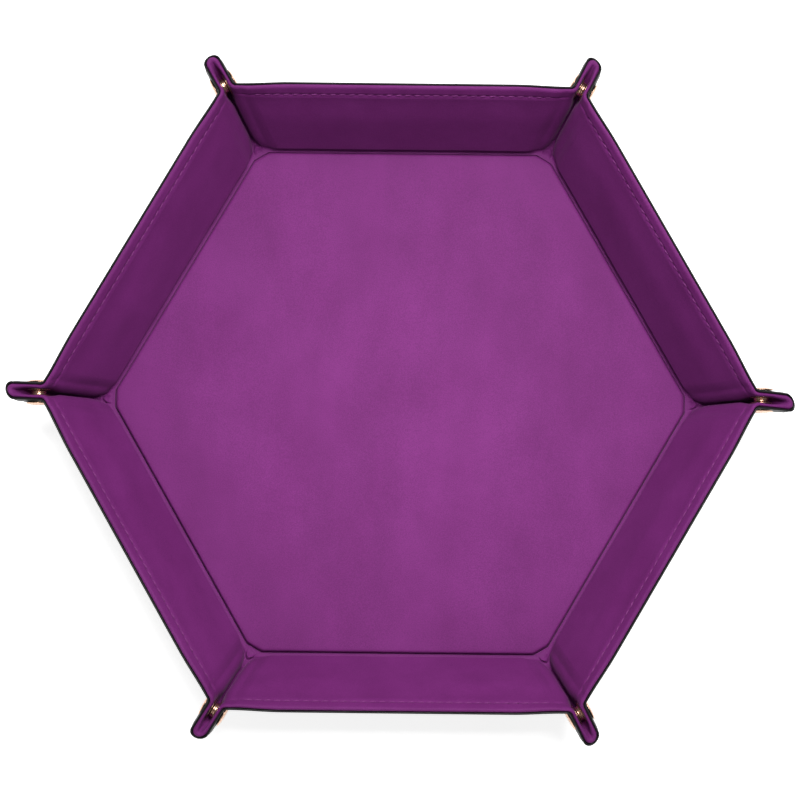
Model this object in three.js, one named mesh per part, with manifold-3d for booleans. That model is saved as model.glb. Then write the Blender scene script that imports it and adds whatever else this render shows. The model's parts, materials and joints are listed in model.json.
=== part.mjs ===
// Folding hexagonal dice tray: a leather and velvet laminate over stiff boards, held up by six corner snaps.
// Millimetres, +Z up. The origin is under the middle of the floor, and corner 1 points along +X.
// It stands snapped up. The walls hinge at the floor's edges, and the halves of each corner's ear hinge
// on the walls, so opening the snaps lays the whole tray flat.
import * as THREE from "three";
import { mergeVertices } from "three/addons/utils/BufferGeometryUtils.js";
import Module from "manifold-3d";

// Tray
const SIDES = 6;
const FLOOR_APOTHEM = 105; // centre to fold line
const WALL_HEIGHT = 42; // fold line to rim, along the wall
const WALL_LEAN = THREE.MathUtils.degToRad(64); // wall above the table when snapped
const RIM_MARGIN = 6; // stitched border above the boards

// Layers, from the table up
const LEATHER = 1.2;
const BOARD = 1.8;
const VELVET = 1.2;
const GLUE = 0.15;

// Folds
const LEATHER_GAP = 0.15; // each side of a fold line
const LIP_GAP = 1.05; // velvet each side of a floor fold
const GROOVE = 3; // fold line to the raised, boarded part
const END_INSET = 2.65; // ear fold to the raised part
const FACET = 2; // corner cut off the floor board
const BORDER_FACET = 1.5; // corner cut off the thin border

// Ears
const EAR_SLOT = 1.5; // velvet face to the middle of the ear
const EAR_FOOT = 3.6; // the ear starts this far above the table
const TIP_CURL = THREE.MathUtils.degToRad(60); // each half turns in this far at the tip
const CORNER_ROUND = 10; // the flat tray's rounded corners

// Snaps
const SNAP_FROM_FOLD = 5.2;
const SNAP_ALONG_FOLD = 38;
const CAP_RADIUS = 5;
const CAP_EDGE = 0.4;
const CAP_DOME = 1.05;
const POST_RADIUS = 1.6;
const POST_CLEARANCE = 0.15;
const FLANGE_RADIUS = 4.5;
const FLANGE = 0.4;
const SOCKET_RADIUS = 3.3;
const SOCKET_BORE = 2.35;
const SOCKET_REACH = 0.6; // past the middle of the ear
const SOCKET_FLOOR = 0.75; // short of the middle of the ear
const STUD_RADIUS = 2;
const STUD_NECK = 1.7;
const STUD_REACH = 0.45; // past the middle of the ear

// Levels above the table on the flat tray
const BOARD_LEVEL = LEATHER + GLUE;
const TOP_LEVEL = BOARD_LEVEL + BOARD + GLUE + VELVET;
const LAMINATE = LEATHER + GLUE + VELVET;
const FOLD_LEVEL = LEATHER + GLUE / 2;

// Corner geometry on the flat tray: half a corner is the 30 degree wedge between a wall's square end and
// the corner's diagonal. The ear fold splits it so that the snapped ear stands upright and radial.
const HALF_CORNER = Math.PI / SIDES;
const HALF_SIDE = FLOOR_APOTHEM * Math.tan(HALF_CORNER);
const FOLD_TURN = Math.atan(Math.cos(WALL_LEAN) * Math.tan(HALF_CORNER)); // wall end to ear fold
const TIP_TURN = HALF_CORNER - FOLD_TURN; // ear fold to diagonal
const EAR_FOLD = Math.acos(Math.sin(WALL_LEAN) * Math.sin(HALF_CORNER)); // ear against wall when snapped
const EAR_OUTER = EAR_SLOT + LAMINATE; // leather face to the middle of the ear
const FOLD_SHIFT = FOLD_LEVEL * Math.sin(WALL_LEAN) * Math.sin(HALF_CORNER); // leather's shift as it rises
const TIP_REACH = EAR_OUTER - FOLD_SHIFT; // ear fold's foot to the diagonal
const FOLD_SETBACK = TIP_REACH / Math.sin(2 * HALF_CORNER); // ear fold's foot to the floor corner
const TIP_ARC = (Math.PI / 2) * (EAR_OUTER - LAMINATE / 2); // laminate used up by half the turn at the tip

const wasm = await Module();
wasm.setup();

const leather = { color: 0x1c191b, roughness: 0.5, metalness: 0 };
const velvet = { color: 0x7a3076, roughness: 0.95, metalness: 0 };
const greyboard = { color: 0x9c917f, roughness: 0.9, metalness: 0 };
const roseGold = { color: 0xdcab92, roughness: 0.22, metalness: 1 };

const tray = new THREE.Group();

function addMesh(parent, name, geometry, finish) {
  const mesh = new THREE.Mesh(geometry, new THREE.MeshStandardMaterial(finish));
  mesh.name = name;
  parent.add(mesh);
  return mesh;
}

function outline(points) {
  return new THREE.Shape(points.map(([x, y]) => new THREE.Vector2(x, y)));
}

// A flat layer between two levels above the leather's underside.
function layer(points, bottom, top) {
  const geometry = new THREE.ExtrudeGeometry(outline(points), {
    depth: top - bottom,
    bevelEnabled: false,
  });
  return geometry.translate(0, 0, bottom);
}

function toSolid(geometry) {
  const bare = geometry.clone();
  bare.deleteAttribute("normal");
  bare.deleteAttribute("uv");
  const merged = mergeVertices(bare, 1e-4);
  return new wasm.Manifold(
    new wasm.Mesh({
      numProp: 3,
      vertProperties: new Float32Array(merged.attributes.position.array),
      triVerts: new Uint32Array(merged.index.array),
    }),
  );
}

function toGeometry(solid) {
  const mesh = solid.getMesh();
  const geometry = new THREE.BufferGeometry();
  geometry.setAttribute("position", new THREE.BufferAttribute(mesh.vertProperties, 3));
  geometry.setIndex(new THREE.BufferAttribute(mesh.triVerts, 1));
  const faceted = geometry.toNonIndexed();
  faceted.computeVertexNormals();
  return faceted;
}

// The velvet over a board: a thin border on the leather, raised over the board, hollow where the board is.
function velvetOverBoard(border, raised, board) {
  const skirt = toSolid(layer(border, BOARD_LEVEL, LAMINATE));
  const cover = toSolid(layer(raised, BOARD_LEVEL, TOP_LEVEL));
  const pocket = toSolid(layer(board, 0, BOARD_LEVEL + BOARD + GLUE));
  return toGeometry(skirt.add(cover).subtract(pocket));
}

// A hexagon with each corner cut back by a distance along its diagonal.
function hexagon(apothem, cut) {
  const reach = apothem / Math.cos(HALF_CORNER) - cut;
  const halfWidth = cut * Math.tan(2 * HALF_CORNER);
  const points = [];
  for (let corner = 0; corner < SIDES; corner++) {
    const turn = 2 * HALF_CORNER * corner;
    for (const side of [-1, 1]) {
      const point = new THREE.Vector2(reach, side * halfWidth).rotateAround(new THREE.Vector2(), turn);
      points.push([point.x, point.y]);
    }
  }
  return points;
}

// Half the wall's width at a height, less an inset from the ear fold.
function halfWidthAt(height, inset) {
  const foot = HALF_SIDE - FOLD_SETBACK;
  return foot + height * Math.tan(FOLD_TURN) - inset / Math.cos(FOLD_TURN);
}

function wallOutline(low, high, inset) {
  const lowHalf = halfWidthAt(low, inset);
  const highHalf = halfWidthAt(high, inset);
  return [
    [-lowHalf, low],
    [lowHalf, low],
    [highHalf, high],
    [-highHalf, high],
  ];
}

function buildFloor() {
  const wrap = VELVET + GLUE;
  const boardApothem = FLOOR_APOTHEM - GROOVE - wrap;
  const skin = layer(hexagon(FLOOR_APOTHEM - LEATHER_GAP, BORDER_FACET), 0, LEATHER);
  addMesh(tray, "floor_leather", skin, leather);
  const board = layer(hexagon(boardApothem, FACET), BOARD_LEVEL, BOARD_LEVEL + BOARD);
  addMesh(tray, "floor_board", board, greyboard);
  const liner = velvetOverBoard(
    hexagon(FLOOR_APOTHEM - LIP_GAP, BORDER_FACET),
    hexagon(FLOOR_APOTHEM - GROOVE, FACET),
    hexagon(boardApothem + GLUE, FACET),
  );
  addMesh(tray, "floor_velvet", liner, velvet);
}

function buildWall(number) {
  const facing = HALF_CORNER * (2 * number - 1);
  const placed = new THREE.Group();
  placed.position.set(FLOOR_APOTHEM * Math.cos(facing), FLOOR_APOTHEM * Math.sin(facing), FOLD_LEVEL);
  placed.rotation.z = facing - Math.PI / 2;
  tray.add(placed);

  const hinged = new THREE.Group();
  hinged.rotation.x = WALL_LEAN;
  placed.add(hinged);

  // Inside, heights are measured from the leather's underside again.
  const wall = new THREE.Group();
  wall.position.z = -FOLD_LEVEL;
  hinged.add(wall);

  const wrap = VELVET + GLUE;
  const raisedTop = WALL_HEIGHT - RIM_MARGIN;
  const skin = layer(wallOutline(LEATHER_GAP, WALL_HEIGHT, LEATHER_GAP), 0, LEATHER);
  addMesh(wall, `wall_${number}_leather`, skin, leather);
  const boardOutline = wallOutline(GROOVE + wrap, raisedTop - wrap, END_INSET + wrap);
  const board = layer(boardOutline, BOARD_LEVEL, BOARD_LEVEL + BOARD);
  addMesh(wall, `wall_${number}_board`, board, greyboard);
  const liner = velvetOverBoard(
    wallOutline(LIP_GAP, WALL_HEIGHT, LEATHER_GAP),
    wallOutline(GROOVE, raisedTop, END_INSET),
    wallOutline(GROOVE + VELVET, raisedTop - VELVET, END_INSET + VELVET),
  );
  addMesh(wall, `wall_${number}_velvet`, liner, velvet);
  return wall;
}

// An ear half's outline on the flat tray: X away from the ear fold, Y up along it.
// Its foot is level with the table when the tray is snapped, and its top corner is rounded.
function earOutline() {
  const foldRise = Math.sin(WALL_LEAN) * Math.cos(FOLD_TURN);
  const earDrop = Math.sqrt(1 - foldRise ** 2);
  const footLevel = EAR_FOOT - FOLD_LEVEL * (1 - Math.cos(WALL_LEAN));
  const footAt = (x) => (footLevel + x * earDrop) / foldRise;
  const rimAt = (x) => (WALL_HEIGHT + x * Math.sin(FOLD_TURN)) / Math.cos(FOLD_TURN);

  const along = new THREE.Vector2(Math.sin(TIP_TURN), Math.cos(TIP_TURN));
  const across = new THREE.Vector2(Math.cos(TIP_TURN), -Math.sin(TIP_TURN));
  const rim = new THREE.Vector2(Math.cos(FOLD_TURN), Math.sin(FOLD_TURN));

  // Where the rim meets the corner's diagonal, and the round that cuts that corner off.
  const reach = TIP_REACH + rimAt(0) * Math.sin(TIP_TURN);
  const peak = new THREE.Vector2(0, rimAt(0)).addScaledVector(rim, reach / rim.dot(across));
  const centre = peak.clone().addScaledVector(along, -CORNER_ROUND / Math.cos(HALF_CORNER));
  const points = [
    [LEATHER_GAP, footAt(LEATHER_GAP)],
    [LEATHER_GAP, rimAt(LEATHER_GAP)],
  ];
  const steps = 5;
  for (let step = 0; step <= steps; step++) {
    const turn = HALF_CORNER * (1 - step / steps);
    const point = centre
      .clone()
      .addScaledVector(along, CORNER_ROUND * Math.cos(turn))
      .addScaledVector(across, -CORNER_ROUND * Math.sin(turn));
    points.push([point.x, point.y]);
  }
  const [lastX, lastY] = points.at(-1);
  points.push([lastX + EAR_OUTER * across.x, lastY + EAR_OUTER * across.y]);
  const wide = LEATHER_GAP + 3 * EAR_OUTER;
  points.push([wide, footAt(wide)]);
  return points.reverse();
}

// One layer of an ear half: flat from the ear fold, then curled at the tip towards the other half.
function earLayer(bottom, top) {
  const start = TIP_REACH - TIP_ARC; // where the turn starts, across the tip line
  const outer = EAR_OUTER - bottom;
  const inner = EAR_OUTER - top;
  const profile = new THREE.Shape();
  profile.moveTo(-2 * WALL_HEIGHT, bottom);
  profile.lineTo(start, bottom);
  profile.absarc(start, EAR_OUTER, outer, -Math.PI / 2, TIP_CURL - Math.PI / 2, false);
  profile.absarc(start, EAR_OUTER, inner, TIP_CURL - Math.PI / 2, -Math.PI / 2, true);
  profile.lineTo(-2 * WALL_HEIGHT, top);
  profile.closePath();

  const length = 1.5 * WALL_HEIGHT;
  const curled = new THREE.ExtrudeGeometry(profile, {
    depth: length,
    bevelEnabled: false,
    curveSegments: 6,
  });
  const along = new THREE.Vector3(Math.sin(TIP_TURN), Math.cos(TIP_TURN), 0);
  const across = new THREE.Vector3(Math.cos(TIP_TURN), -Math.sin(TIP_TURN), 0);
  const upward = new THREE.Vector3(0, 0, 1);
  const turned = new THREE.Matrix4().makeBasis(across, upward, along.clone().negate());
  turned.setPosition(along.multiplyScalar(length));
  curled.applyMatrix4(turned);

  const cutter = toSolid(layer(earOutline(), -1, EAR_OUTER + 1));
  const hole = new THREE.CylinderGeometry(
    POST_RADIUS + POST_CLEARANCE,
    POST_RADIUS + POST_CLEARANCE,
    2 * EAR_OUTER,
    20,
  );
  hole.rotateX(Math.PI / 2).translate(SNAP_FROM_FOLD, SNAP_ALONG_FOLD, 0);
  return toGeometry(toSolid(curled).intersect(cutter).subtract(toSolid(hole)));
}

// A snap half turns about the snap's axis. Its profile runs from the cap outside the ear, down the
// riveted post, to the flange on the velvet and the socket or stud between the two ear halves.
function snapHalf(innerProfile) {
  const capBase = EAR_OUTER + GLUE;
  const seat = EAR_SLOT - GLUE;
  const dome = [];
  const steps = 5;
  for (let step = 0; step <= steps; step++) {
    const turn = (Math.PI / 2) * (step / steps);
    dome.push([CAP_RADIUS * Math.sin(turn), CAP_EDGE + (CAP_DOME - CAP_EDGE) * Math.cos(turn)]);
  }
  const points = [
    ...dome.map(([radius, height]) => [radius, capBase + height]),
    [CAP_RADIUS, capBase],
    [POST_RADIUS, capBase],
    [POST_RADIUS, seat],
    [FLANGE_RADIUS, seat],
    [FLANGE_RADIUS, seat - FLANGE],
    ...innerProfile,
  ];
  const profile = points.map(([radius, height]) => new THREE.Vector2(radius, height)).reverse();
  return new THREE.LatheGeometry(profile, 24);
}

function socketProfile() {
  const flangeFace = EAR_SLOT - GLUE - FLANGE;
  return [
    [SOCKET_RADIUS, flangeFace],
    [SOCKET_RADIUS, -SOCKET_REACH],
    [SOCKET_BORE, -SOCKET_REACH],
    [SOCKET_BORE, SOCKET_FLOOR],
    [0, SOCKET_FLOOR],
  ];
}

function studProfile() {
  const flangeFace = EAR_SLOT - GLUE - FLANGE;
  return [
    [STUD_NECK, flangeFace],
    [STUD_NECK, flangeFace / 2],
    [STUD_RADIUS, 0],
    [STUD_RADIUS, -STUD_REACH / 2],
    [STUD_NECK, -STUD_REACH],
    [0, -STUD_REACH],
  ];
}

// Half of an ear, on the end of a wall. The stud half is the mirror image of the socket half.
function buildEarHalf(wall, ear, kind) {
  const end = new THREE.Group();
  end.scale.x = kind === "socket" ? 1 : -1;
  wall.add(end);

  const hinge = new THREE.Group();
  hinge.position.x = HALF_SIDE - FOLD_SETBACK;
  hinge.rotation.z = -FOLD_TURN;
  end.add(hinge);

  const half = new THREE.Group();
  half.rotation.y = EAR_FOLD;
  hinge.add(half);

  addMesh(half, `ear_${ear}_${kind}_side_leather`, earLayer(0, LEATHER), leather);
  addMesh(half, `ear_${ear}_${kind}_side_velvet`, earLayer(BOARD_LEVEL, LAMINATE), velvet);
  const profile = kind === "socket" ? socketProfile() : studProfile();
  const snap = addMesh(half, `ear_${ear}_snap_${kind}`, snapHalf(profile), roseGold);
  snap.position.set(SNAP_FROM_FOLD, SNAP_ALONG_FOLD, EAR_OUTER);
  snap.rotation.x = -Math.PI / 2;
}

buildFloor();
for (let number = 1; number <= SIDES; number++) {
  const wall = buildWall(number);
  buildEarHalf(wall, number, "socket");
  buildEarHalf(wall, (number % SIDES) + 1, "stud");
}

export default tray;
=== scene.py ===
"""Folding hexagonal dice tray: velvet liner, leather cover, rim stitching and corner snaps around the frame.

Lengths below are in millimetres. A wall's own axes are X along the floor's edge, Y up the wall and H away
from the leather's underside, towards the velvet. An ear half's own axes are S away from its fold, T up the
fold and H as on the wall. Every wall and every ear half has the same shape, so each is worked out once and
placed by the joints of the frame.
"""

import json
import math

import bpy
import numpy as np
from mathutils import Matrix, Vector


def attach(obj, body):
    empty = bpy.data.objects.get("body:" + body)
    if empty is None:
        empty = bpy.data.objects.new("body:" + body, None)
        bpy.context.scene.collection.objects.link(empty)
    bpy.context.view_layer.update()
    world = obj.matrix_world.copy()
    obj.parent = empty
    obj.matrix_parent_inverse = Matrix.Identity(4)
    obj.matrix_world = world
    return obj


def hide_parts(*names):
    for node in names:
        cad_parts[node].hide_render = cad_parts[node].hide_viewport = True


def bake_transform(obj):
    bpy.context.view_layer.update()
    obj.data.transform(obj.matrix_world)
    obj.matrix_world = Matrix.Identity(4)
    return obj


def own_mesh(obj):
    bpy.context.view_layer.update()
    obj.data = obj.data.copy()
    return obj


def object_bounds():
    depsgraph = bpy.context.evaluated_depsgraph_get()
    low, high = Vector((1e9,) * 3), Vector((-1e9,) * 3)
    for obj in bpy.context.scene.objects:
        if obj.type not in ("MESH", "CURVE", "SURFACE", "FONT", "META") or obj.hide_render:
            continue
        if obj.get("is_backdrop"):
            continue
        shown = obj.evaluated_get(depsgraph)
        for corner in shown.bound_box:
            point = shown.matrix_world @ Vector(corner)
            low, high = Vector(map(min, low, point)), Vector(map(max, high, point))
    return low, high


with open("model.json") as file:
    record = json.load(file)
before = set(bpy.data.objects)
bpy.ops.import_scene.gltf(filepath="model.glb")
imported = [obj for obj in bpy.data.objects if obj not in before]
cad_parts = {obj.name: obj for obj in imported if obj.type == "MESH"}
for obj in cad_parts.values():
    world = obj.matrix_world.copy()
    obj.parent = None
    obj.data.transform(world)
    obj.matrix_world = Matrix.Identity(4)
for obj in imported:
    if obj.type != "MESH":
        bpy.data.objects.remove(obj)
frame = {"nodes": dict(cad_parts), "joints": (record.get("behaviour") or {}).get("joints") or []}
CAD_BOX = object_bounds()

MM = 0.001
SIDES = 6

# Laminate, from the leather's underside up
LEATHER = 1.2
BORDER_UNDER = 1.35
BORDER_TOP = 2.6
PANEL_TOP = 4.5
FOLD_LEVEL = 1.275
VELVET = 1.2

# Walls
GROOVE = 2.8  # fold to the foot of the padding over the board
WALL_HEIGHT = 42.0
RIM_MARGIN = 6.0
PANEL_END = 36.95  # where the padding over the board comes down to the stitches
STITCH_LINE = 37.4
STITCH_PITCH = 3.7
FLARE = math.radians(9)  # the margin turns out this far
EAR_START = -6.0  # an ear's piece begins this far before its fold
FOOT = 1.6  # an ear's piece begins this far up the wall

# Ears
EAR_OUTER = 4.05  # leather face to the middle of the ear
THROAT = 1.5  # leather's radius at the ear fold
TIP_START = -0.882  # where the turn at the tip starts, across the tip line
TIP_REACH = 3.477  # the diagonal, across the tip line
CORNER_ROUND = 10.0
FOOT_ROUND = 6.0  # leather's radius at the foot of a corner
SNAP_AT = (5.2, 38.0)
EAR_LEAN = {1: 1.8, 2: -1.6, 3: 0.3, 4: 1.3, 5: 1.0, 6: 1.1}  # how far each tip has bent clockwise


# ---------------------------------------------------------------- the frame's directions

JOINTS = {joint["name"]: joint for joint in frame["joints"]}


def joint_line(name):
    """A joint's point, in millimetres, and its axis."""
    joint = JOINTS[name]
    return np.array(joint["pos_m"]) / MM, np.array(joint["axis"])


def ear_of(wall, side):
    """The ear at a wall's X end (side 1) or at its other end (side -1), and which half of it that is."""
    return (wall, "socket") if side > 0 else (wall % SIDES + 1, "stud")


class Wall:
    """Where a wall stands: its fold's middle and its three directions."""

    def __init__(self, number):
        self.number = number
        self.origin, axis = joint_line(f"wall_{number}_fold")
        ear, kind = ear_of(number, 1)
        self.ear_foot, ear_axis = joint_line(f"ear_{ear}_{kind}_half_fold")
        self.x = -axis
        self.h = np.cross(self.x, -ear_axis)
        self.h /= np.linalg.norm(self.h)
        self.y = np.cross(self.h, self.x)
        self.fold = -ear_axis

    def place(self, points):
        """Points in the wall's own axes, in the row frame."""
        p = np.asarray(points, float)
        flat = np.outer(p[..., 0].ravel(), self.x)
        flat += np.outer(p[..., 1].ravel(), self.y)
        flat += np.outer(p[..., 2].ravel() - FOLD_LEVEL, self.h)
        return (flat + self.origin).reshape(p.shape)


WALLS = {number: Wall(number) for number in range(1, SIDES + 1)}
FIRST = WALLS[1]
APOTHEM = float(np.hypot(FIRST.origin[0], FIRST.origin[1]))
OUTWARD = np.array([FIRST.origin[0], FIRST.origin[1], 0]) / APOTHEM
LEAN = math.acos(float(FIRST.y @ OUTWARD))
HALF_CORNER = math.pi / SIDES
FOLD_TURN = math.atan2(float(FIRST.fold @ FIRST.x), float(FIRST.fold @ FIRST.y))
TIP_TURN = HALF_CORNER - FOLD_TURN
EAR_FOLD = math.acos(math.sin(LEAN) * math.sin(HALF_CORNER))
FOOT_X = float((FIRST.ear_foot - FIRST.origin) @ FIRST.x)
THROAT_REACH = THROAT * math.tan(EAR_FOLD / 2)

# Directions in the wall's own axes: across the ear fold, up it, and the ear half's own two.
ACROSS = np.array([math.cos(FOLD_TURN), -math.sin(FOLD_TURN), 0])
UP_FOLD = np.array([math.sin(FOLD_TURN), math.cos(FOLD_TURN), 0])
RISE = np.array([0.0, 0.0, 1.0])
EAR_S = math.cos(EAR_FOLD) * ACROSS - math.sin(EAR_FOLD) * RISE
EAR_H = math.sin(EAR_FOLD) * ACROSS + math.cos(EAR_FOLD) * RISE
EAR_FOOT = np.array([FOOT_X, 0.0, 0.0])


# ---------------------------------------------------------------- small helpers


def smooth(low, high, value):
    """0 below low, 1 above high, and a smooth step between."""
    share = np.clip((np.asarray(value, float) - low) / (high - low), 0, 1)
    return share * share * (3 - 2 * share)


def soft_min(values, softness):
    """The least of several arrays, rounded off where two are near each other."""
    least = np.minimum.reduce(values)
    return least - softness * np.log(sum(np.exp((least - v) / softness) for v in values))


def ripple(x, y, seed, pitch):
    """Gentle unevenness of cloth over board: a few crossed waves, from -1 to 1."""
    draw = np.random.default_rng(seed)
    total = np.zeros(np.broadcast(x, y).shape)
    for _ in range(5):
        turn = draw.uniform(0, 2 * math.pi)
        length = pitch * draw.uniform(0.7, 1.6)
        phase = draw.uniform(0, 2 * math.pi)
        total = total + np.sin((x * math.cos(turn) + y * math.sin(turn)) * 2 * math.pi / length + phase)
    return total / 5


def add_object(name, verts, faces, material, smooth_angle=38):
    """A mesh object from points in millimetres."""
    mesh = bpy.data.meshes.new(name)
    mesh.from_pydata([tuple(v) for v in np.asarray(verts) * MM], [], faces)
    mesh.validate()
    mesh.materials.append(material)
    mesh.shade_smooth()
    mesh.set_sharp_from_angle(angle=math.radians(smooth_angle))
    thing = bpy.data.objects.new(name, mesh)
    bpy.context.scene.collection.objects.link(thing)
    return thing


def shell(outer, inner, flip=False, closed=False):
    """Points and faces of a closed sheet between two grids of points. closed joins the last column to the
    first."""
    outer = np.asarray(outer, float)
    inner = np.asarray(inner, float)
    rows, columns = outer.shape[:2]
    verts = np.concatenate([outer.reshape(-1, 3), inner.reshape(-1, 3)])
    count = rows * columns

    def at(row, column, layer):
        return layer * count + row * columns + column % columns

    faces = []
    last = columns if closed else columns - 1
    for row in range(rows - 1):
        for column in range(last):
            a, b = at(row, column, 0), at(row, column + 1, 0)
            c, d = at(row + 1, column + 1, 0), at(row + 1, column, 0)
            faces.append((a, b, c, d))
            faces.append((d + count, c + count, b + count, a + count))
    for column in range(last):
        a, b = at(0, column, 0), at(0, column + 1, 0)
        faces.append((b, a, a + count, b + count))
        a, b = at(rows - 1, column, 0), at(rows - 1, column + 1, 0)
        faces.append((a, b, b + count, a + count))
    if not closed:
        for row in range(rows - 1):
            a, b = at(row, 0, 0), at(row + 1, 0, 0)
            faces.append((a, b, b + count, a + count))
            a, b = at(row, columns - 1, 0), at(row + 1, columns - 1, 0)
            faces.append((b, a, a + count, b + count))
    if flip:
        faces = [tuple(reversed(face)) for face in faces]
    return verts, faces


def joined(parts):
    """Several lots of points and faces as one."""
    verts, faces, start = [], [], 0
    for part_verts, part_faces in parts:
        verts.append(np.asarray(part_verts))
        faces.extend(tuple(start + i for i in face) for face in part_faces)
        start += len(part_verts)
    return np.concatenate(verts), faces


# ---------------------------------------------------------------- the laminate's shape, in a wall's own axes


def fold_gap(x, y):
    """Distance past the nearer ear fold, negative on the wall."""
    return (np.abs(x) - FOOT_X) * math.cos(FOLD_TURN) - y * math.sin(FOLD_TURN)


def up_fold(s, y):
    """How far up the ear fold a line of constant height is, s past the fold."""
    return (y + s * math.sin(FOLD_TURN)) / math.cos(FOLD_TURN)


def wall_half(y, gap):
    """X of the point at that distance past the ear fold."""
    return FOOT_X + up_fold(gap, y) * math.sin(FOLD_TURN) + gap * math.cos(FOLD_TURN)


# The flare as tables up the wall: how far it has turned, moved out and lost in height.
FLARE_BEGIN = WALL_HEIGHT - RIM_MARGIN - 0.8
FLARE_LENGTH = 3.0
FLARE_STEP = 0.05
FLARE_Y = np.arange(FLARE_BEGIN - 1, WALL_HEIGHT + 2, FLARE_STEP)
FLARE_TURN = FLARE * smooth(FLARE_BEGIN, FLARE_BEGIN + FLARE_LENGTH, FLARE_Y)
FLARE_OUT = np.cumsum(np.sin(FLARE_TURN)) * FLARE_STEP
FLARE_SHORT = np.cumsum(1 - np.cos(FLARE_TURN)) * FLARE_STEP


def wall_point(x, y, h):
    """A point of the wall's laminate. The rim margin flares out, except near the ears."""
    x, y, h = np.broadcast_arrays(x, y, h)
    share = smooth(2, 22, -fold_gap(x, y))
    turn = share * np.interp(y, FLARE_Y, FLARE_TURN)
    up = y - share**2 * np.interp(y, FLARE_Y, FLARE_SHORT) + h * np.sin(turn)
    off = h * np.cos(turn) - share * np.interp(y, FLARE_Y, FLARE_OUT)
    return np.stack([x, up, off], axis=-1)


def tip_along(across, y):
    """How far along the tip line a line of constant height is. The flat tray's corners are rounded."""
    line = (y + across * math.sin(HALF_CORNER)) / math.cos(HALF_CORNER)
    rim = (WALL_HEIGHT + across * math.sin(HALF_CORNER)) / math.cos(HALF_CORNER)
    peak = (WALL_HEIGHT + TIP_REACH * math.sin(HALF_CORNER)) / math.cos(HALF_CORNER)
    centre = peak - CORNER_ROUND / math.cos(HALF_CORNER)
    beside = np.clip(TIP_REACH - across, 0, CORNER_ROUND * math.sin(HALF_CORNER))
    rounded = centre + np.sqrt(CORNER_ROUND**2 - beside**2)
    return line - np.maximum(rim - rounded, 0) * smooth(22, 34, y)


def ear_point(station, y, h, lean=0.0):
    """A point of an ear half's laminate. Stations run from the wall (0) through the throat (1 to 2) and along
    the ear (2 to 3) round the tip to the middle of the ear (4). Low down, the pinched ear has no room to
    form, and the wall runs on to a rounded corner instead. lean bends the tip towards the other half."""
    station, y, h = np.broadcast_arrays(station, y, h)
    on_wall = np.clip(station, 0, 1)
    in_throat = np.clip(station - 1, 0, 1)
    on_ear = np.clip(station - 2, 0, 1)
    in_tip = np.clip(station - 3, 0, 1)

    def place(across, rise, up):
        return EAR_FOOT + across[..., None] * ACROSS + rise[..., None] * RISE + up[..., None] * UP_FOLD

    gap = EAR_START + (-THROAT_REACH - EAR_START) * on_wall
    wall = wall_point(wall_half(y, gap), y, h)

    turn = EAR_FOLD * in_throat
    slide = THROAT_REACH * (2 * in_throat - 1)
    throat = place(
        -THROAT_REACH + (THROAT + h) * np.sin(turn),
        -THROAT + (THROAT + h) * np.cos(turn),
        up_fold(slide, y),
    )

    shortest = THROAT_REACH + 0.15 - y / math.cos(HALF_CORNER) * math.sin(TIP_TURN)
    slope = math.cos(TIP_TURN) + math.tan(HALF_CORNER) * math.sin(TIP_TURN)
    start = np.maximum(TIP_START, shortest / slope)
    inner = EAR_OUTER - h
    tip_turn = math.pi / 2 * in_tip
    used = (TIP_REACH - TIP_START) * in_tip
    along = tip_along(start + used, y)
    across = start + inner * np.sin(tip_turn)
    s = across * math.cos(TIP_TURN) + along * math.sin(TIP_TURN)
    t = along * math.cos(TIP_TURN) - across * math.sin(TIP_TURN)
    up_ear = EAR_OUTER - inner * np.cos(tip_turn) + lean * (np.maximum(s - 6, 0) / 9) ** 2 * on_ear
    s = THROAT_REACH + (s - THROAT_REACH) * on_ear
    t_start = up_fold(THROAT_REACH, y)
    t = t_start + (t - t_start) * on_ear
    ear = EAR_FOOT + s[..., None] * EAR_S + up_ear[..., None] * EAR_H + t[..., None] * UP_FOLD

    fin = np.where((station <= 1)[..., None], wall, np.where((station <= 2)[..., None], throat, ear))

    centre = (EAR_OUTER - FOOT_ROUND * math.cos(EAR_FOLD)) / math.sin(EAR_FOLD)
    round_turn = (math.pi / 2 - EAR_FOLD) * in_tip
    past = 0.3
    up_to_ear = -THROAT_REACH + (past + THROAT_REACH) * in_throat
    straight = np.where(station <= 2, up_to_ear, past + (centre - past) * on_ear)
    run = straight + (FOOT_ROUND - h) * np.sin(round_turn)
    plain = place(run, FOOT_ROUND - (FOOT_ROUND - h) * np.cos(round_turn), up_fold(run, y))
    plain = np.where((station <= 1)[..., None], wall, plain)
    formed = smooth(0, 3.4, y)[..., None]
    return plain + (fin - plain) * formed


def fold_point(h, share, floor_reach, wall_reach):
    """A layer's turn from the floor into the wall: a curve between the two flat runs, as (Y, H) of the wall."""
    meet = (FOLD_LEVEL - h) * math.tan(LEAN / 2)

    def on_wall(v, z):
        rise = z - FOLD_LEVEL
        up = v * math.cos(LEAN) + rise * math.sin(LEAN)
        return np.array([up, FOLD_LEVEL - v * math.sin(LEAN) + rise * math.cos(LEAN)])

    begin, corner, end = on_wall(-floor_reach, h), on_wall(meet, h), np.array([wall_reach, h])
    share = np.asarray(share, float)[:, None]
    return (1 - share) ** 2 * begin + 2 * share * (1 - share) * corner + share**2 * end


# ---------------------------------------------------------------- heights of the velvet and rows of both sheets


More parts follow.
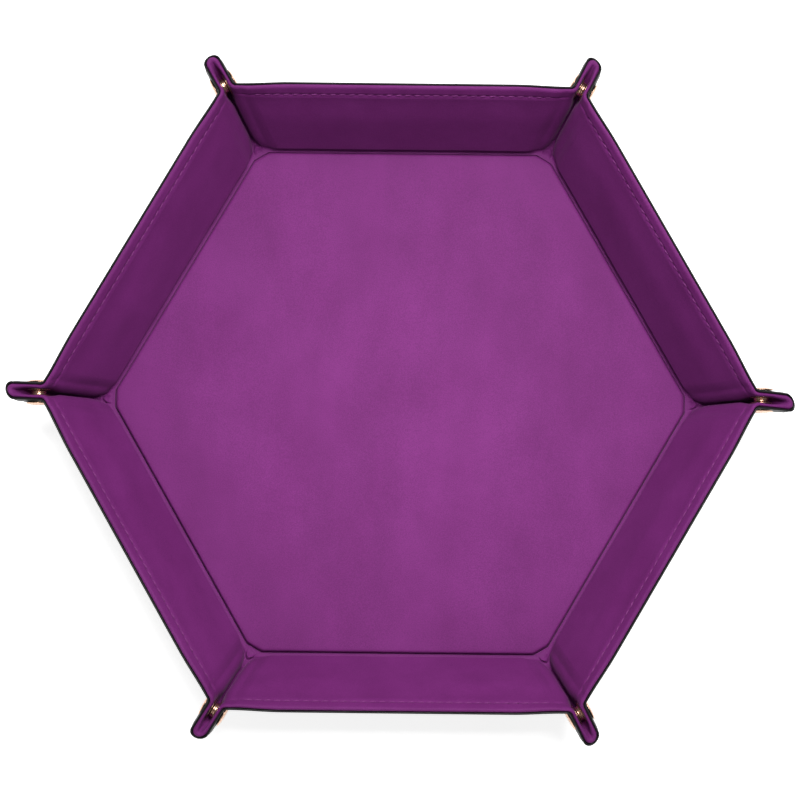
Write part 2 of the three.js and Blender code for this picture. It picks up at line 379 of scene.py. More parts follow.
def velvet_top(x, y, seed):
    """Height of the velvet: raised over the board, with a stitched channel in the margin. At an ear its two
    lips nearly meet, except round the snap."""
    gap = fold_gap(x, y)
    inside = soft_min([y - GROOVE, PANEL_END - y], 0.2)
    raised = np.sin(np.clip((inside + 0.15) / 1.1, 0, 1) * math.pi / 2) * smooth(-1.5, 6.5, -gap)
    height = BORDER_TOP + (PANEL_TOP - BORDER_TOP - 1.25 * smooth(22, PANEL_END, y)) * raised
    stitched = np.exp(-(((y - STITCH_LINE) / 0.42) ** 2)) * smooth(-1, 3, -gap)
    height = height - stitched * (0.4 + 0.14 * np.cos(2 * math.pi * x / STITCH_PITCH))
    off_snap = smooth(4.4, 8.5, np.hypot(gap - SNAP_AT[0], up_fold(gap, y) - SNAP_AT[1]))
    pinch = smooth(-2.5, 1, gap) * smooth(2.5, 9, y) * off_snap
    plump = smooth(PANEL_END - 0.6, PANEL_END + 0.3, y) * smooth(0.5, 5, -gap)
    height = height + 0.88 * pinch + 0.6 * plump
    calm = smooth(0.5, 6, -gap)
    height = height + calm * 0.11 * ripple(x, y, seed, 24) * raised
    return height + calm * 0.1 * ripple(x, y, seed + 50, 11) * plump


# The velvet's rows up the wall, closer together at the groove and at the stitches, and its rounded lip.
LIP_MIDDLE = 40.5
LIP_REACH = 1.3
LIP_TURN = np.radians([18, 36, 54, 70, 86, 104, 122, 140])
VELVET_Y = [FOOT, 2.1, 2.3, 2.5, 2.7, 2.9, 3.1, 3.35, 3.6, 4.0, 5.0, 7.0, 9.5, 12.5, 15.5, 18.5, 21.5, 24.5]
VELVET_Y += [27.5, 30.0, 32.0, 33.5, 34.4, 35.0, 35.4, 35.7, 36.0, 36.25, 36.5, 36.75, 37.0, 37.25, 37.5]
VELVET_Y += [37.75, 38.0, 38.4, 38.8, 39.3, 39.9, LIP_MIDDLE]

# The same for the leather, which ends in a bead.
BEAD_MIDDLE = (41.4, 0.82)
BEAD_RADIUS = 0.4
BEAD_TURN = np.radians([-68, -45, -22, 0, 22, 45, 68, 88])
LEATHER_Y = [FOOT, 2.6, 4.0, 6.0, 9.0, 12.5, 16.0, 20.0, 24.0, 28.0, 31.0, 33.5, 35.2, 36.0, 36.6, 37.0]
LEATHER_Y += [37.4, 37.8, 38.2, 38.8, 39.6, 40.4, 41.0, BEAD_MIDDLE[0]]


def velvet_layers(x_of, seed):
    """Rows of (Y, height) of the velvet's top and underside, ending in a rounded lip. x_of gives a row's X
    positions from its height."""
    for y in VELVET_Y:
        x = x_of(y)
        top = velvet_top(x, np.full(len(x), y), seed)
        under = BORDER_UNDER if y > STITCH_LINE else np.maximum(BORDER_UNDER, top - VELVET)
        yield (y, top), (y, under)
    full = (top - BORDER_UNDER) / 2
    for row, turn in enumerate(LIP_TURN):
        high = BORDER_UNDER + full * (1 + math.cos(turn))
        yield (LIP_MIDDLE + LIP_REACH * math.sin(turn), high), (LIP_MIDDLE + 0.05 * row, BORDER_UNDER)


def leather_layers():
    """Rows of (Y, H) of the leather's outside and inside. It is pared thin towards its rounded, sealed edge."""
    for y in LEATHER_Y:
        channel = 0.22 * math.exp(-(((y - STITCH_LINE) / 0.5) ** 2))
        yield (y, channel + 0.45 * smooth(38.6, 41.4, y)), (min(y, 40.8), LEATHER)
    for row, turn in enumerate(BEAD_TURN):
        arm = np.array([math.cos(turn), math.sin(turn)])
        yield np.array(BEAD_MIDDLE) + BEAD_RADIUS * arm, (40.85 + 0.05 * row, LEATHER - 0.03)


def velvet_wall_grid(seed, columns=121):
    """Top and underside of a wall's velvet, from the groove at the floor to the rim."""
    across = np.linspace(-1, 1, columns)
    reach, shares = 2.3, np.linspace(0, 1, 8)[:-1]
    foot_half = wall_half(FOOT, EAR_START)
    top, under = [], []
    for grid, h in ((top, BORDER_TOP), (under, BORDER_UNDER)):
        for share, (up, off) in zip(shares, fold_point(h, shares, reach, FOOT)):
            pressed = 0.5 * math.sin(math.pi * share) if h == BORDER_TOP else 0.0
            row = [across * foot_half, np.full(columns, up + pressed * 0.5), np.full(columns, off - pressed)]
            grid.append(np.stack(row, axis=-1))
    for upper, lower in velvet_layers(lambda y: across * wall_half(y, EAR_START), seed):
        for grid, (y, h) in ((top, upper), (under, lower)):
            grid.append(wall_point(across * wall_half(y, EAR_START), y, h))
    return np.array(top), np.array(under)


def leather_wall_grid(columns=61):
    """Outside and inside of a wall's leather, from under the floor's edge to the rim's bead."""
    across = np.linspace(-1, 1, columns)
    reach, shares = 1.2, np.linspace(0, 1, 8)[:-1]
    foot_half = wall_half(FOOT, EAR_START)
    outside, inside = [], []
    for grid, h in ((outside, 0.0), (inside, LEATHER)):
        for up, off in fold_point(h, shares, reach, FOOT):
            grid.append(np.stack([across * foot_half, np.full(columns, up), np.full(columns, off)], axis=-1))
    for outer, inner in leather_layers():
        for grid, (y, h) in ((outside, outer), (inside, inner)):
            grid.append(wall_point(across * wall_half(y, EAR_START), y, h))
    return np.array(outside), np.array(inside)


PANEL_STATIONS = (np.array([-6, -5.2, -4.6, -4.1, -3.7, -3.35, -3.0, -2.7, -2.35, -1.9, -1.4]) - EAR_START) / (
    -THROAT_REACH - EAR_START
)
EAR_STATIONS = np.concatenate([PANEL_STATIONS, 1 + np.arange(9) / 9, 2 + np.linspace(0, 1, 10)])
TIP_STATIONS = 3 + np.linspace(0, 1, 10)


def station_x(stations, y):
    """The flat sheet's X at each station, for its height and unevenness."""
    gap = np.interp(stations, [0, 1, 2, 3, 4], [EAR_START, -THROAT_REACH, THROAT_REACH, 10, 15])
    return wall_half(y, gap)


def velvet_ear_grid(stations, lean, seed):
    """Top and underside of the velvet across part of an ear half."""
    top, under = [], []
    for upper, lower in velvet_layers(lambda y: station_x(stations, y), seed):
        for grid, (y, h) in ((top, upper), (under, lower)):
            grid.append(ear_point(stations, y, h, lean))
    return np.array(top), np.array(under)


def leather_ear_grid(stations, lean):
    """Outside and inside of the leather across part of an ear half."""
    outside, inside = [], []
    for outer, inner in leather_layers():
        for grid, (y, h) in ((outside, outer), (inside, inner)):
            grid.append(ear_point(stations, y, h, lean))
    return np.array(outside), np.array(inside)


# ---------------------------------------------------------------- pieces of the laminate


def mirrored(grid, side):
    """A wall-axes grid for the wall's X end (side 1) or its other end (side -1)."""
    return grid * np.array([side, 1, 1])


def sheet_piece(name, wall, outer, inner, material, slot, flip):
    """A closed sheet between two grids in a wall's own axes, placed on that wall."""
    verts, faces = shell(outer, inner, flip=flip)
    thing = add_object(name, wall.place(verts), faces, material)
    return thing


def row_point(wall, x, y, h):
    """One point in a wall's own axes, in the row frame and in metres."""
    return tuple(wall.place(np.array([[x, y, h]]))[0] * MM)


def fold_ends(wall, h, floor_reach, wall_reach):
    """Where a layer starts and stops turning at the floor's edge."""
    (y0, h0), (y1, h1) = fold_point(h, [0, 1], floor_reach, wall_reach)
    return row_point(wall, 0, y0, h0), row_point(wall, 0, y1, h1)


def throat_ends(wall, side, h):
    """Where a layer starts and nearly stops turning at an ear fold."""
    level = THROAT_REACH * math.sin(FOLD_TURN)
    middle = WALL_HEIGHT / 2 - 1
    before = ear_point(np.array([1.0]), middle + level, h)
    after = ear_point(np.array([2.0]), middle - level, h)
    start, end = wall.place(mirrored(np.concatenate([before, after]), side))
    return tuple((start - 0.08 * (end - start)) * MM), tuple((start + 0.8 * (end - start)) * MM)


def build_wall(wall, finishes):
    number = wall.number
    velvet_top_grid, velvet_under_grid = velvet_wall_grid(seed=number)
    liner = sheet_piece(
        f"wall_{number}_liner", wall, velvet_top_grid, velvet_under_grid, finishes["velvet"], "velvet", False
    )
    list(fold_ends(wall, BORDER_TOP, 1.2, 1.2))
    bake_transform(liner)
    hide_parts(f"wall_{number}_velvet")
    outside, inside = leather_wall_grid()
    cover = sheet_piece(f"wall_{number}_cover", wall, outside, inside, finishes["leather"], "leather", True)
    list(fold_ends(wall, 0.0, 0.9, 1.2))
    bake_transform(cover)
    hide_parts(f"wall_{number}_leather")
    width = 2 * wall_half(WALL_HEIGHT, EAR_START) * MM
    narrow = 2 * wall_half(FOOT, EAR_START) * MM


def flatten(piece, wall, side, level):
    """Gives a piece of the turn at an ear's tip its own copy of its mesh."""
    places = mirrored(np.array([EAR_FOOT + level * EAR_H, EAR_FOOT + (level + 1) * EAR_H]), side)
    face, above = wall.place(places)
    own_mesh(piece)


def build_ear_half(wall, side, finishes):
    """An ear half's velvet and leather: the part that turns at the ear fold, and the turn at the tip. Inside
    the turn lies the velvet that shows beside the diagonal once the tray is open."""
    number, kind = ear_of(wall.number, side)
    body = f"ear_{number}_{kind}_half"
    name = f"ear_{number}_{kind}_side"
    flip = side < 0
    lean = EAR_LEAN[number] * side
    for layer, finish, grids in (
        ("liner", "velvet", lambda stations: velvet_ear_grid(stations, lean, wall.number)),
        ("cover", "leather", lambda stations: leather_ear_grid(stations, lean)),
    ):
        turned = flip != (finish == "leather")
        cad_node = f"{name}_{finish}"
        outer, inner = (mirrored(grid, side) for grid in grids(EAR_STATIONS))
        panel = sheet_piece(f"{name}_{layer}", wall, outer, inner, finishes[finish], finish, turned)
        height = BORDER_TOP if finish == "velvet" else LEATHER / 2
        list(throat_ends(wall, side, height))
        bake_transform(panel)
        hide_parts(cad_node)
        outer, inner = (mirrored(grid, side) for grid in grids(TIP_STATIONS))
        tip = sheet_piece(f"{name}_{layer}_tip", wall, outer, inner, finishes[finish], finish, turned)
        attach(tip, body)
        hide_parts(cad_node)
        flatten(tip, wall, side, BORDER_TOP if finish == "velvet" else 0.0)
    rows = [y for y in VELVET_Y if y <= 39.9]
    outer, inner = (mirrored([ear_point(TIP_STATIONS, y, h, lean) for y in rows], side) for h in (0.95, 0.15))
    hem = sheet_piece(f"{name}_liner_turn", wall, outer, inner, finishes["velvet"], "velvet", flip)
    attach(hem, body)
    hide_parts(f"{name}_velvet")
    flatten(hem, wall, side, BORDER_TOP)


# ---------------------------------------------------------------- floor and its corners


def floor_outline(directions, apothem, cut):
    """Radius of the floor's outline: a hexagon with each corner cut back along its diagonal."""

    def lines(distance, first_turn):
        turns = first_turn + 2 * HALF_CORNER * np.arange(SIDES)
        return [distance / np.maximum(np.cos(directions - turn), 0.2) for turn in turns]

    reach = apothem / math.cos(HALF_CORNER) - cut
    return soft_min(lines(apothem, HALF_CORNER) + lines(reach, 0.0), 0.12)


def floor_directions():
    """Directions round the floor, closer together at the corners."""
    side = np.linspace(-1, 1, 53)[:-1]
    side = np.sign(side) * np.abs(side) ** 1.7 * HALF_CORNER
    return np.concatenate([side + 2 * HALF_CORNER * corner for corner in range(SIDES)])


def floor_rows(directions, rows, cut):
    """Rings of points at (inset from the outline's apothem, level)."""
    rings = []
    for apothem, level in rows:
        radius = floor_outline(directions, apothem, cut)
        levels = np.full(len(directions), level)
        rings.append(np.stack([radius * np.cos(directions), radius * np.sin(directions), levels], axis=-1))
    return rings


def build_floor(finishes):
    directions = floor_directions()
    edge = APOTHEM - GROOVE - 0.1
    shoulder = [(-1.3, 0), (-0.95, 0.03), (-0.6, 0.12), (-0.32, 0.3), (-0.1, 0.6), (0.02, 1.0), (0.08, 1.45)]
    shoulder += [(0.2, 1.85), (0.4, 2.0)]
    rows = [(edge + out, PANEL_TOP - drop) for out, drop in shoulder]
    middle = floor_rows(directions, rows[:1], 2.0)[0]
    shares = np.concatenate([[0.0002], np.linspace(0.02, 0.985, 46)])
    rings = [middle * np.array([share, share, 1]) for share in shares]
    top = np.array(rings + floor_rows(directions, rows, 2.0))
    calm = smooth(0, 8, edge - floor_outline_depth(top))
    top[..., 2] += calm * 0.13 * ripple(top[..., 0], top[..., 1], 3, 60)
    under = top.copy()
    under[..., 2] = np.maximum(top[..., 2] - VELVET, BORDER_UNDER)
    under[..., 2] = np.minimum(under[..., 2], top[..., 2] - 0.05)
    verts, faces = shell(top, under, closed=True)
    liner = add_object("floor_liner", verts, faces, finishes["velvet"])
    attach(liner, "floor")
    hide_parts("floor_velvet")

    reach = APOTHEM - 1.2
    middle = floor_rows(directions, [(reach - 2, 0)], 1.0)[0]
    shares = np.concatenate([[0.0002], np.linspace(0.05, 1, 20)])
    rings = [middle * np.array([share, share, 1]) for share in shares]
    outside = np.array(rings + floor_rows(directions, [(reach, 0)], 1.0))
    inside = outside + np.array([0, 0, LEATHER])
    verts, faces = shell(outside, inside, flip=True, closed=True)
    cover = add_object("floor_cover", verts, faces, finishes["leather"])
    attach(cover, "floor")
    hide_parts("floor_leather")


def floor_outline_depth(points):
    """The apothem of the hexagon that a point lies on."""
    turns = HALF_CORNER * (2 * np.arange(1, SIDES + 1) - 1)
    reach = [points[..., 0] * math.cos(turn) + points[..., 1] * math.sin(turn) for turn in turns]
    return np.max(reach, axis=0)


CORNER_STATIONS = np.concatenate([EAR_STATIONS, TIP_STATIONS[1:]])


def corner_half(wall, side, h, reach, cut, tongue):
    """Half of a corner's piece in the row frame: rows from the floor's border up to the foot of the ear half,
    columns from the wall to the corner's diagonal. tongue lifts the little triangle before the ear."""
    foot = wall.place(mirrored(ear_point(CORNER_STATIONS, FOOT, h), side))
    outward = wall.origin * np.array([1, 1, 0]) / APOTHEM
    along = wall.x * side
    radial = foot[-1] * np.array([1, 1, 0])
    radial = radial / np.linalg.norm(radial)
    steps = np.linalg.norm(np.diff(foot, axis=0), axis=1)
    progress = np.concatenate([[0], np.cumsum(steps)]) / steps.sum()

    begin = float(foot[0] @ along)
    end = (APOTHEM - reach) * math.tan(HALF_CORNER)
    x = begin + (end - begin) * progress
    border = np.outer(np.full(len(x), APOTHEM - reach), outward) + np.outer(x, along)
    limit = (APOTHEM - reach) / math.cos(HALF_CORNER) - cut
    border -= np.outer(np.maximum(border @ radial - limit, 0), radial)
    border[:, 2] = h

    to_diagonal = smooth(1, 4, CORNER_STATIONS)[:, None]
    facing = outward * (1 - to_diagonal) + radial * to_diagonal
    facing /= np.linalg.norm(facing, axis=1)[:, None]
    foot_v = FOOT * math.cos(LEAN) + (FOLD_LEVEL - h) * math.sin(LEAN)
    meet_v = (FOLD_LEVEL - h) * math.tan(LEAN / 2)
    under = foot - facing * (foot_v - meet_v)
    under[:, 2] = h

    share = np.linspace(0, 1, 13)[:, None, None]
    grid = (1 - share) ** 2 * border + 2 * share * (1 - share) * under + share**2 * foot
    bump = np.exp(-(((share[..., 0] - 0.5) / 0.17) ** 2)) * smooth(1.8, 3.4, CORNER_STATIONS)
    grid[..., 2] += tongue * bump
    return grid


def build_corner(number, finishes):
    """The folded corner of the laminate, from the floor to the foot of an ear. The velvet stays with the floor,
    and the leather is made as two halves, one beside each wall."""
    ends = ((WALLS[number], 1), (WALLS[(number - 2) % SIDES + 1], -1))
    velvet = []
    for h, tongue in ((BORDER_TOP, 1.2), (BORDER_UNDER, 0.0)):
        ahead, behind = (corner_half(wall, side, h, 2.3, 2.0, tongue) for wall, side in ends)
        velvet.append(np.concatenate([ahead, behind[:, -2::-1]], axis=1))
    verts, faces = shell(*velvet)
    liner = add_object(f"corner_{number}_liner", verts, faces, finishes["velvet"])
    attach(liner, "floor")
    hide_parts("floor_velvet")
    for (wall, side), kind in zip(ends, ("socket", "stud")):
        outside, inside = (corner_half(wall, side, h, 1.2, 1.2, 0.0) for h in (0.0, LEATHER))
        verts, faces = shell(outside, inside, flip=side > 0)
        cover = add_object(f"corner_{number}_{kind}_side_cover", verts, faces, finishes["leather"])
        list(fold_ends(wall, 0.0, 0.9, 1.2))
        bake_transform(cover)
        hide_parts("floor_leather")


# ---------------------------------------------------------------- stitching

THREAD = 0.3
STITCH_HALF = 1.42


def stitch(begin, end, normal):
    """One stitch: a twisted thread that bulges out of the surface and dives into it at both ends."""
    steps, sides = 9, 8
    run = end - begin
    beside = np.cross(normal, run)
    beside /= np.linalg.norm(beside)
    verts = []
    for share in np.linspace(0, 1, steps):
        arch = math.sin(math.pi * share)
        middle = begin + run * share + normal * (0.42 * arch**0.6 - 0.3)
        for turn in np.linspace(0, 2 * math.pi, sides, endpoint=False):
            twist = 1 + 0.14 * math.cos(2 * turn - 11 * share)
            radius = THREAD * (0.55 + 0.45 * arch**0.5) * twist
            verts.append(middle + radius * (math.cos(turn) * beside + math.sin(turn) * normal))
    faces = [tuple(range(sides - 1, -1, -1)), tuple(range((steps - 1) * sides, steps * sides))]
    for step in range(steps - 1):
        for side in range(sides):
            a, b = step * sides + side, step * sides + (side + 1) % sides
            faces.append((a, b, b + sides, a + sides))
    return np.array(verts), faces


def stitch_along(point_at, position, slant, out):
    """A stitch centred at a position along the stitch line. point_at gives the surface from (position, y)."""
    begin = point_at(position - STITCH_HALF, STITCH_LINE - slant)
    end = point_at(position + STITCH_HALF, STITCH_LINE + slant)
    above = point_at(position, STITCH_LINE + 0.4)
    below = point_at(position, STITCH_LINE - 0.4)
    normal = np.cross(end - begin, above - below)
    normal *= out / np.linalg.norm(normal)
    return stitch(begin, end, normal)


def build_stitches(wall, finishes):
    """The rim's stitching on both faces of a wall."""
    half = float(wall_half(STITCH_LINE, EAR_START))
    count = int(round(2 * half / STITCH_PITCH))
    pitch = 2 * half / count
    for name, finish, slot, h, slant, out in (
        ("rim_stitches", "thread", "velvet", BORDER_TOP + 0.3, 0.13, 1),
        ("outer_stitches", "bobbin", "leather", 0.1, -0.13, -1),
    ):
        def point_at(x, y, h=h):
            return wall_point(x, y, h)

        parts = [stitch_along(point_at, (i + 0.5) * pitch - half, slant, out) for i in range(count)]
        verts, faces = joined(parts)
        thing = add_object(f"wall_{wall.number}_{name}", wall.place(verts), faces, finishes[finish])
        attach(thing, f"wall_{wall.number}")


def build_ear_stitches(wall, side, finishes):
    """The same stitching on the outside of an ear half, from the wall to the tip."""
    number, kind = ear_of(wall.number, side)
    lengths = np.array([0, -THROAT_REACH - EAR_START, 2 * 0.8, 9.6])
    marks = np.cumsum(lengths)

    def point_at(run, y):
        station = np.interp(run, marks, [0, 1, 2, 3])
        return mirrored(ear_point(station, y, 0.1, EAR_LEAN[number] * side), side)

    places = np.arange(STITCH_PITCH / 2, marks[-1], STITCH_PITCH)
    parts = [stitch_along(point_at, place, -0.13, -side) for place in places]
    verts, faces = joined(parts)
    thing = add_object(f"ear_{number}_{kind}_side_stitches", wall.place(verts), faces, finishes["bobbin"])
    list(throat_ends(wall, side, LEATHER / 2))
    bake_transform(thing)


# ---------------------------------------------------------------- snaps

# Profiles of a snap's pieces as (radius, distance from the middle of the ear).
CAP_SEAT = EAR_OUTER + 0.15
FLANGE_SEAT = 1.35


def rounded_profile(points, steps=3, softness=0.35):
    """A profile with every corner inside it rounded off."""
    points = [np.array(p, float) for p in points]
    result = [points[0]]
    for before, here, after in zip(points, points[1:], points[2:]):
        back, ahead = before - here, after - here
        cut = min(softness, np.linalg.norm(back) * 0.45, np.linalg.norm(ahead) * 0.45)
        begin = here + back / np.linalg.norm(back) * cut
        end = here + ahead / np.linalg.norm(ahead) * cut
        for share in np.linspace(0, 1, steps + 1):
            result.append((1 - share) ** 2 * begin + 2 * share * (1 - share) * here + share**2 * end)
    return result + [points[-1]]


def turned(profile, place, sides=56):
    """A profile turned about the snap's axis. place puts (along the ear, up, height) points on the wall."""
    rings = []
    for radius, height in profile:
        turns = np.linspace(0, 2 * math.pi, sides, endpoint=False)
        reach = max(radius, 0.0)
        rings.append(np.stack([reach * np.cos(turns), reach * np.sin(turns), np.full(sides, height)], axis=-1))
    verts = np.array(rings)
    faces = []
    for ring in range(len(rings) - 1):
        for side in range(sides):
            a, b = ring * sides + side, ring * sides + (side + 1) % sides
            faces.append((a, b, b + sides, a + sides))
    verts = verts.reshape(-1, 3)
    first, last = range(sides - 1, -1, -1), range((len(rings) - 1) * sides, len(rings) * sides)
    faces += [tuple(first), tuple(last)]
    return place(verts), faces


def cap_profile():
    """The domed cap and its rolled edge, outside the leather, then the rivet to the inside."""
    dome = [(0.05, 0.8), (2.2, 0.77), (3.1, 0.69), (3.3, 0.59), (3.6, 0.61), (4.3, 0.49), (4.8, 0.28)]
    edge = [(5.0, 0.05), (4.98, -0.1), (4.75, -0.15), (1.6, -0.15)]
    points = [(radius, CAP_SEAT + height) for radius, height in dome + edge]
    return points + [(1.6, FLANGE_SEAT), (0.05, FLANGE_SEAT)]


def socket_profile():
    """The socket: a rolled flange on the velvet, and a barrel whose lip closes a little over the bore."""
    points = [(0.05, FLANGE_SEAT), (4.1, FLANGE_SEAT), (4.5, 1.2), (4.5, 1.05), (4.2, 0.95), (3.2, 0.95)]
    points += [(3.0, 0.8), (2.95, 0.2), (2.8, 0.05), (2.95, -0.12), (2.95, -0.42), (2.8, -0.6), (2.5, -0.6)]
    return points + [(2.35, -0.4), (2.4, 0.2), (2.5, 0.75), (0.05, 0.75)]


def stud_profile():
    """The stud: a rolled flange, a neck and a rounded head."""
    flange = [(0.05, FLANGE_SEAT), (4.1, FLANGE_SEAT), (4.5, 1.2), (4.5, 1.05), (4.2, 0.95), (2.3, 0.95)]
    neck = [(1.72, 0.7), (1.7, 0.4)]
    head = [(2.0, 0.1), (2.0, -0.2), (1.75, -0.4), (1.2, -0.45), (0.05, -0.45)]
    return flange + neck + head


def build_snap_half(wall, side, finishes):
    number, kind = ear_of(wall.number, side)

    def place(points):
        s = SNAP_AT[0] + points[:, 0]
        t = SNAP_AT[1] + points[:, 1]
        up = EAR_OUTER - points[:, 2]
        local = EAR_FOOT + np.outer(s, EAR_S) + np.outer(up, EAR_H) + np.outer(t, UP_FOLD)
        return wall.place(mirrored(local, side))

    inner = socket_profile() if kind == "socket" else stud_profile()
    for part, profile in (("cap", cap_profile()), (kind, inner)):
        verts, faces = turned(rounded_profile(profile, softness=0.12), place)
        if (side < 0) != (part == "cap"):
            faces = [tuple(reversed(face)) for face in faces]
        thing = add_object(f"ear_{number}_{kind}_side_{part}", verts, faces, finishes["metal"], smooth_angle=50)
        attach(thing, f"ear_{number}_{kind}_half")
        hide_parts(f"ear_{number}_snap_{kind}")


# ---------------------------------------------------------------- finishes


def new_material(name):
    material = bpy.data.materials.new(name)
    material.use_nodes = True
    shader = material.node_tree.nodes["Principled BSDF"]
    return material, material.node_tree, shader


def node(tree, kind, **settings):
    made = tree.nodes.new(kind)
    for key, value in settings.items():
        if key in made.inputs:
            made.inputs[key].default_value = value
        else:
            setattr(made, key, value)
    return made


def noise(tree, place, scale, detail=3.0, roughness=0.55, stretch=(1, 1, 1)):
    """Noise of a scale given per metre, on the object's own place."""
    mapping = node(tree, "ShaderNodeMapping")
    mapping.inputs["Scale"].default_value = stretch
    tree.links.new(place, mapping.inputs["Vector"])
    made = node(tree, "ShaderNodeTexNoise", Scale=scale, Detail=detail, Roughness=roughness)
    tree.links.new(mapping.outputs[0], made.inputs["Vector"])
    return made.outputs["Fac"]


def ramp(tree, value, stops):
    made = node(tree, "ShaderNodeValToRGB")
    elements = made.color_ramp.elements
    while len(elements) < len(stops):
        elements.new(0.5)
    for element, (position, colour) in zip(elements, stops):
        element.position = position
        element.color = (*colour, 1)
    tree.links.new(value, made.inputs["Fac"])
    return made.outputs["Color"]


def multiply(tree, first, second, share=1.0):
    made = node(tree, "ShaderNodeMix", data_type="RGBA", blend_type="MULTIPLY")
    made.inputs["Factor"].default_value = share
    tree.links.new(first, made.inputs[6])
    tree.links.new(second, made.inputs[7])
    return made.outputs[2]


def bump(tree, height, strength, distance, normal=None):
    made = node(tree, "ShaderNodeBump", Strength=strength, Distance=distance)
    tree.links.new(height, made.inputs["Height"])
    if normal is not None:
        tree.links.new(normal, made.inputs["Normal"])
    return made.outputs["Normal"]


VELVET_DARK = (0.158, 0.0195, 0.148)
VELVET_BASE = (0.172, 0.0225, 0.163)
VELVET_LIGHT = (0.188, 0.026, 0.179)


def velvet_material():
    """Short-pile purple velvet: stroked nap in broad patches, fine pile, and a soft sheen."""
    material, tree, shader = new_material("purple_velvet")
    place = node(tree, "ShaderNodeTexCoord").outputs["Object"]
    nap_stops = [(0.28, VELVET_DARK), (0.5, VELVET_BASE), (0.72, VELVET_LIGHT)]
    nap = ramp(tree, noise(tree, place, 34, 4, 0.6), nap_stops)
    stroke = ramp(tree, noise(tree, place, 90, 2, 0.5, (1, 0.35, 1)), [(0.3, (0.9,) * 3), (0.7, (1.0,) * 3)])
    pile = ramp(tree, noise(tree, place, 2600, 2, 0.7), [(0.3, (0.72,) * 3), (0.68, (1.0,) * 3)])
    colour = multiply(tree, multiply(tree, nap, stroke), pile)
    tree.links.new(colour, shader.inputs["Base Color"])
    shader.inputs["Roughness"].default_value = 0.62
    shader.inputs["Specular IOR Level"].default_value = 0.1
    shader.inputs["Sheen Weight"].default_value = 0.1
    shader.inputs["Sheen Roughness"].default_value = 0.35
    shader.inputs["Sheen Tint"].default_value = (0.9, 0.5, 0.85, 1)
    fine = bump(tree, noise(tree, place, 2200, 3, 0.75), 0.4, 0.00012)
    broad = bump(tree, noise(tree, place, 260, 2, 0.5), 0.25, 0.0003, fine)
    tree.links.new(broad, shader.inputs["Normal"])
    return material


def leather_material():
    """Black synthetic leather: fine pebbled grain, satin, a little scuffed on its high spots."""
    material, tree, shader = new_material("black_leather")
    place = node(tree, "ShaderNodeTexCoord").outputs["Object"]
    cells = node(tree, "ShaderNodeTexVoronoi", Scale=1150.0, Randomness=0.9)
    cells.feature = "SMOOTH_F1"
    tree.links.new(place, cells.inputs["Vector"])
    blacks = [(0.3, (0.009, 0.008, 0.009)), (0.7, (0.016, 0.014, 0.015))]
    mottle = ramp(tree, noise(tree, place, 60, 4, 0.6), blacks)
    grain = ramp(tree, cells.outputs["Distance"], [(0.0, (1.0,) * 3), (0.6, (0.6,) * 3)])
    tree.links.new(multiply(tree, mottle, grain), shader.inputs["Base Color"])
    rough = ramp(tree, noise(tree, place, 420, 3, 0.6), [(0.3, (0.36,) * 3), (0.7, (0.52,) * 3)])
    tree.links.new(rough, shader.inputs["Roughness"])
    shader.inputs["Specular IOR Level"].default_value = 0.22
    coarse = bump(tree, cells.outputs["Distance"], 0.45, -0.00012)
    tree.links.new(bump(tree, noise(tree, place, 3200, 2, 0.6), 0.2, 0.00006, coarse), shader.inputs["Normal"])
    return material


def thread_material(name, dark, light):
    """Twisted sewing thread."""
    material, tree, shader = new_material(name)
    place = node(tree, "ShaderNodeTexCoord").outputs["Object"]
    colour = ramp(tree, noise(tree, place, 1800, 3, 0.7), [(0.3, dark), (0.7, light)])
    tree.links.new(colour, shader.inputs["Base Color"])
    shader.inputs["Roughness"].default_value = 0.75
    shader.inputs["Specular IOR Level"].default_value = 0.2
    tree.links.new(bump(tree, noise(tree, place, 5200, 2, 0.6), 0.4, 0.00008), shader.inputs["Normal"])
    return material


def metal_material():
    """Rose-gold plated pressing: polished, with faint turning marks and tarnish."""
    material, tree, shader = new_material("rose_gold")
    place = node(tree, "ShaderNodeTexCoord").outputs["Object"]
    colour = ramp(tree, noise(tree, place, 900, 3, 0.6), [(0.25, (0.44, 0.26, 0.18)), (0.6, (0.7, 0.45, 0.33))])
    tree.links.new(colour, shader.inputs["Base Color"])
    shader.inputs["Metallic"].default_value = 1.0
    rough = ramp(tree, noise(tree, place, 2400, 3, 0.65), [(0.3, (0.2,) * 3), (0.75, (0.34,) * 3)])
    tree.links.new(rough, shader.inputs["Roughness"])
    tree.links.new(bump(tree, noise(tree, place, 3600, 2, 0.5), 0.12, 0.00003), shader.inputs["Normal"])
    return material


def board_material():
    """Grey binder's board: pressed fibres."""
    material, tree, shader = new_material("grey_board")
    place = node(tree, "ShaderNodeTexCoord").outputs["Object"]
    colour = ramp(tree, noise(tree, place, 700, 6, 0.7), [(0.3, (0.24, 0.2, 0.15)), (0.7, (0.42, 0.37, 0.29))])
    tree.links.new(colour, shader.inputs["Base Color"])
    shader.inputs["Roughness"].default_value = 0.9
    tree.links.new(bump(tree, noise(tree, place, 1500, 4, 0.7), 0.4, 0.0001), shader.inputs["Normal"])
    return material


# ---------------------------------------------------------------- studio

CAMERA_HEIGHT = 0.95
CAMERA_ELEVATION = 85.8
CAMERA_ROLL = 0.63
CAMERA_RISE = 0.0006  # how far the picture's middle lies past the tray's
PICTURE_WIDTH = 0.327  # what the picture spans at the floor's level
SENSOR = 36.0
TABLE_HALF = 6.0
TABLE_GAP = 0.0002


def aim_lamp(name, light, place, power):
    light.energy = power
    lamp = bpy.data.objects.new(name, light)
    lamp.location = place
    lamp.rotation_euler = (-Vector(place)).to_track_quat("-Z", "Y").to_euler()
    bpy.context.scene.collection.objects.link(lamp)


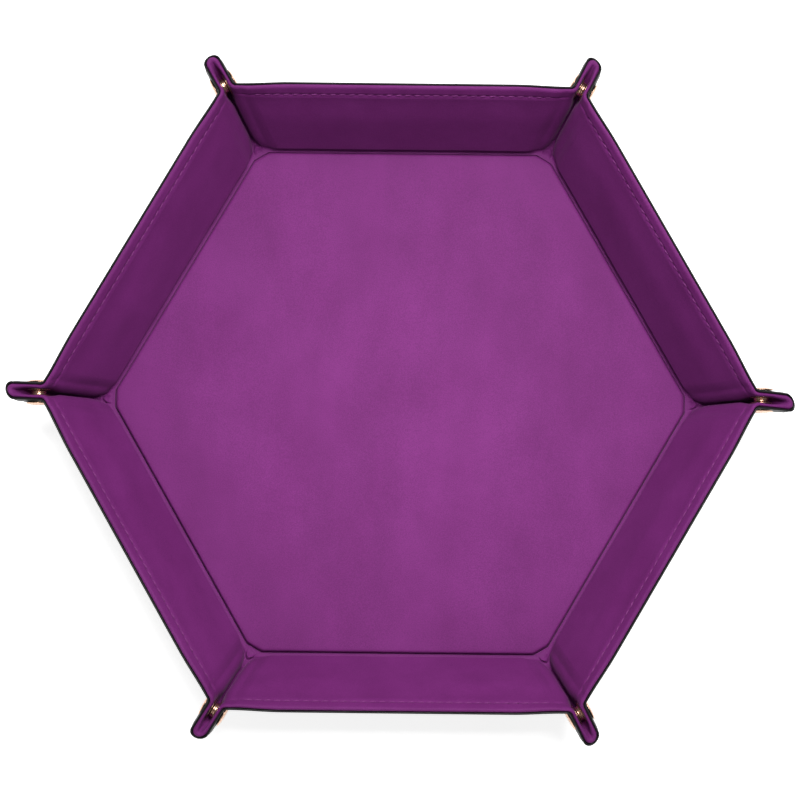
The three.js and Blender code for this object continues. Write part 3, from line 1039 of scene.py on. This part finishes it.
def build_studio():
    scene = bpy.context.scene
    scene.view_settings.view_transform = "Standard"
    mesh = bpy.data.meshes.new("table")
    corners = [(x * TABLE_HALF, y * TABLE_HALF, 0) for x, y in ((-1, -1), (1, -1), (1, 1), (-1, 1))]
    mesh.from_pydata(corners, [], [(0, 1, 2, 3)])
    table = bpy.data.objects.new("table", mesh)
    table.location.z = -TABLE_GAP
    material, _, shader = new_material("pale_table")
    shader.inputs["Base Color"].default_value = (0.93, 0.93, 0.93, 1)
    shader.inputs["Emission Color"].default_value = (1, 1, 1, 1)
    shader.inputs["Emission Strength"].default_value = 0.7
    shader.inputs["Roughness"].default_value = 0.95
    shader.inputs["Specular IOR Level"].default_value = 0.1
    mesh.materials.append(material)
    scene.collection.objects.link(table)
    table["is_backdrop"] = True

    world = bpy.data.worlds.new("studio")
    world.use_nodes = True
    world.node_tree.nodes["Background"].inputs["Color"].default_value = (1, 1, 1, 1)
    world.node_tree.nodes["Background"].inputs["Strength"].default_value = 0.17
    scene.world = world

    for name, place, size, power in (
        ("overhead_softbox", (0.14, 0.48, 1.1), 0.65, 18.6),
        ("front_fill", (-0.5, -0.9, 0.9), 0.8, 2.4),
    ):
        light = bpy.data.lights.new(name, "AREA")
        light.shape = "SQUARE"
        light.size = size
        aim_lamp(name, light, place, power)
    pool = bpy.data.lights.new("centre_spot", "SPOT")
    pool.spot_size = math.radians(13.5)
    pool.spot_blend = 1.0
    pool.shadow_soft_size = 0.05
    aim_lamp("centre_spot", pool, (0.12, 0.2, 1.2), 26.0)

    camera = bpy.data.cameras.new("camera")
    level = PANEL_TOP * MM
    distance = CAMERA_HEIGHT - level
    camera.sensor_width = SENSOR
    camera.lens = SENSOR * distance / PICTURE_WIDTH
    seat = bpy.data.objects.new("camera", camera)
    tilt = math.radians(90 - CAMERA_ELEVATION)
    seat.location = (0, CAMERA_RISE - distance * math.sin(tilt), level + distance * math.cos(tilt))
    roll = Matrix.Rotation(math.radians(CAMERA_ROLL), 4, "Z")
    seat.rotation_euler = (Matrix.Rotation(tilt, 4, "X") @ roll).to_euler()
    scene.collection.objects.link(seat)
    scene.camera = seat


# ---------------------------------------------------------------- the tray

FINISHES = {
    "velvet": velvet_material(),
    "leather": leather_material(),
    "thread": thread_material("purple_thread", (0.14, 0.022, 0.13), (0.23, 0.042, 0.21)),
    "bobbin": thread_material("black_thread", (0.012, 0.01, 0.012), (0.035, 0.03, 0.034)),
    "metal": metal_material(),
}

build_floor(FINISHES)
for tray_wall in WALLS.values():
    build_wall(tray_wall, FINISHES)
    build_stitches(tray_wall, FINISHES)
    for end in (1, -1):
        build_ear_half(tray_wall, end, FINISHES)
        build_ear_stitches(tray_wall, end, FINISHES)
        build_snap_half(tray_wall, end, FINISHES)
for corner_number in range(1, SIDES + 1):
    build_corner(corner_number, FINISHES)

BOARD = board_material()
for node_name, cad_node in frame["nodes"].items():
    if node_name.endswith("_board"):
        cad_node.data.materials.clear()
        cad_node.data.materials.append(BOARD)

build_studio()

boxes = {"cad": CAD_BOX, "visual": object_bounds()}
{name: [list(corner) for corner in box] for name, box in boxes.items()}
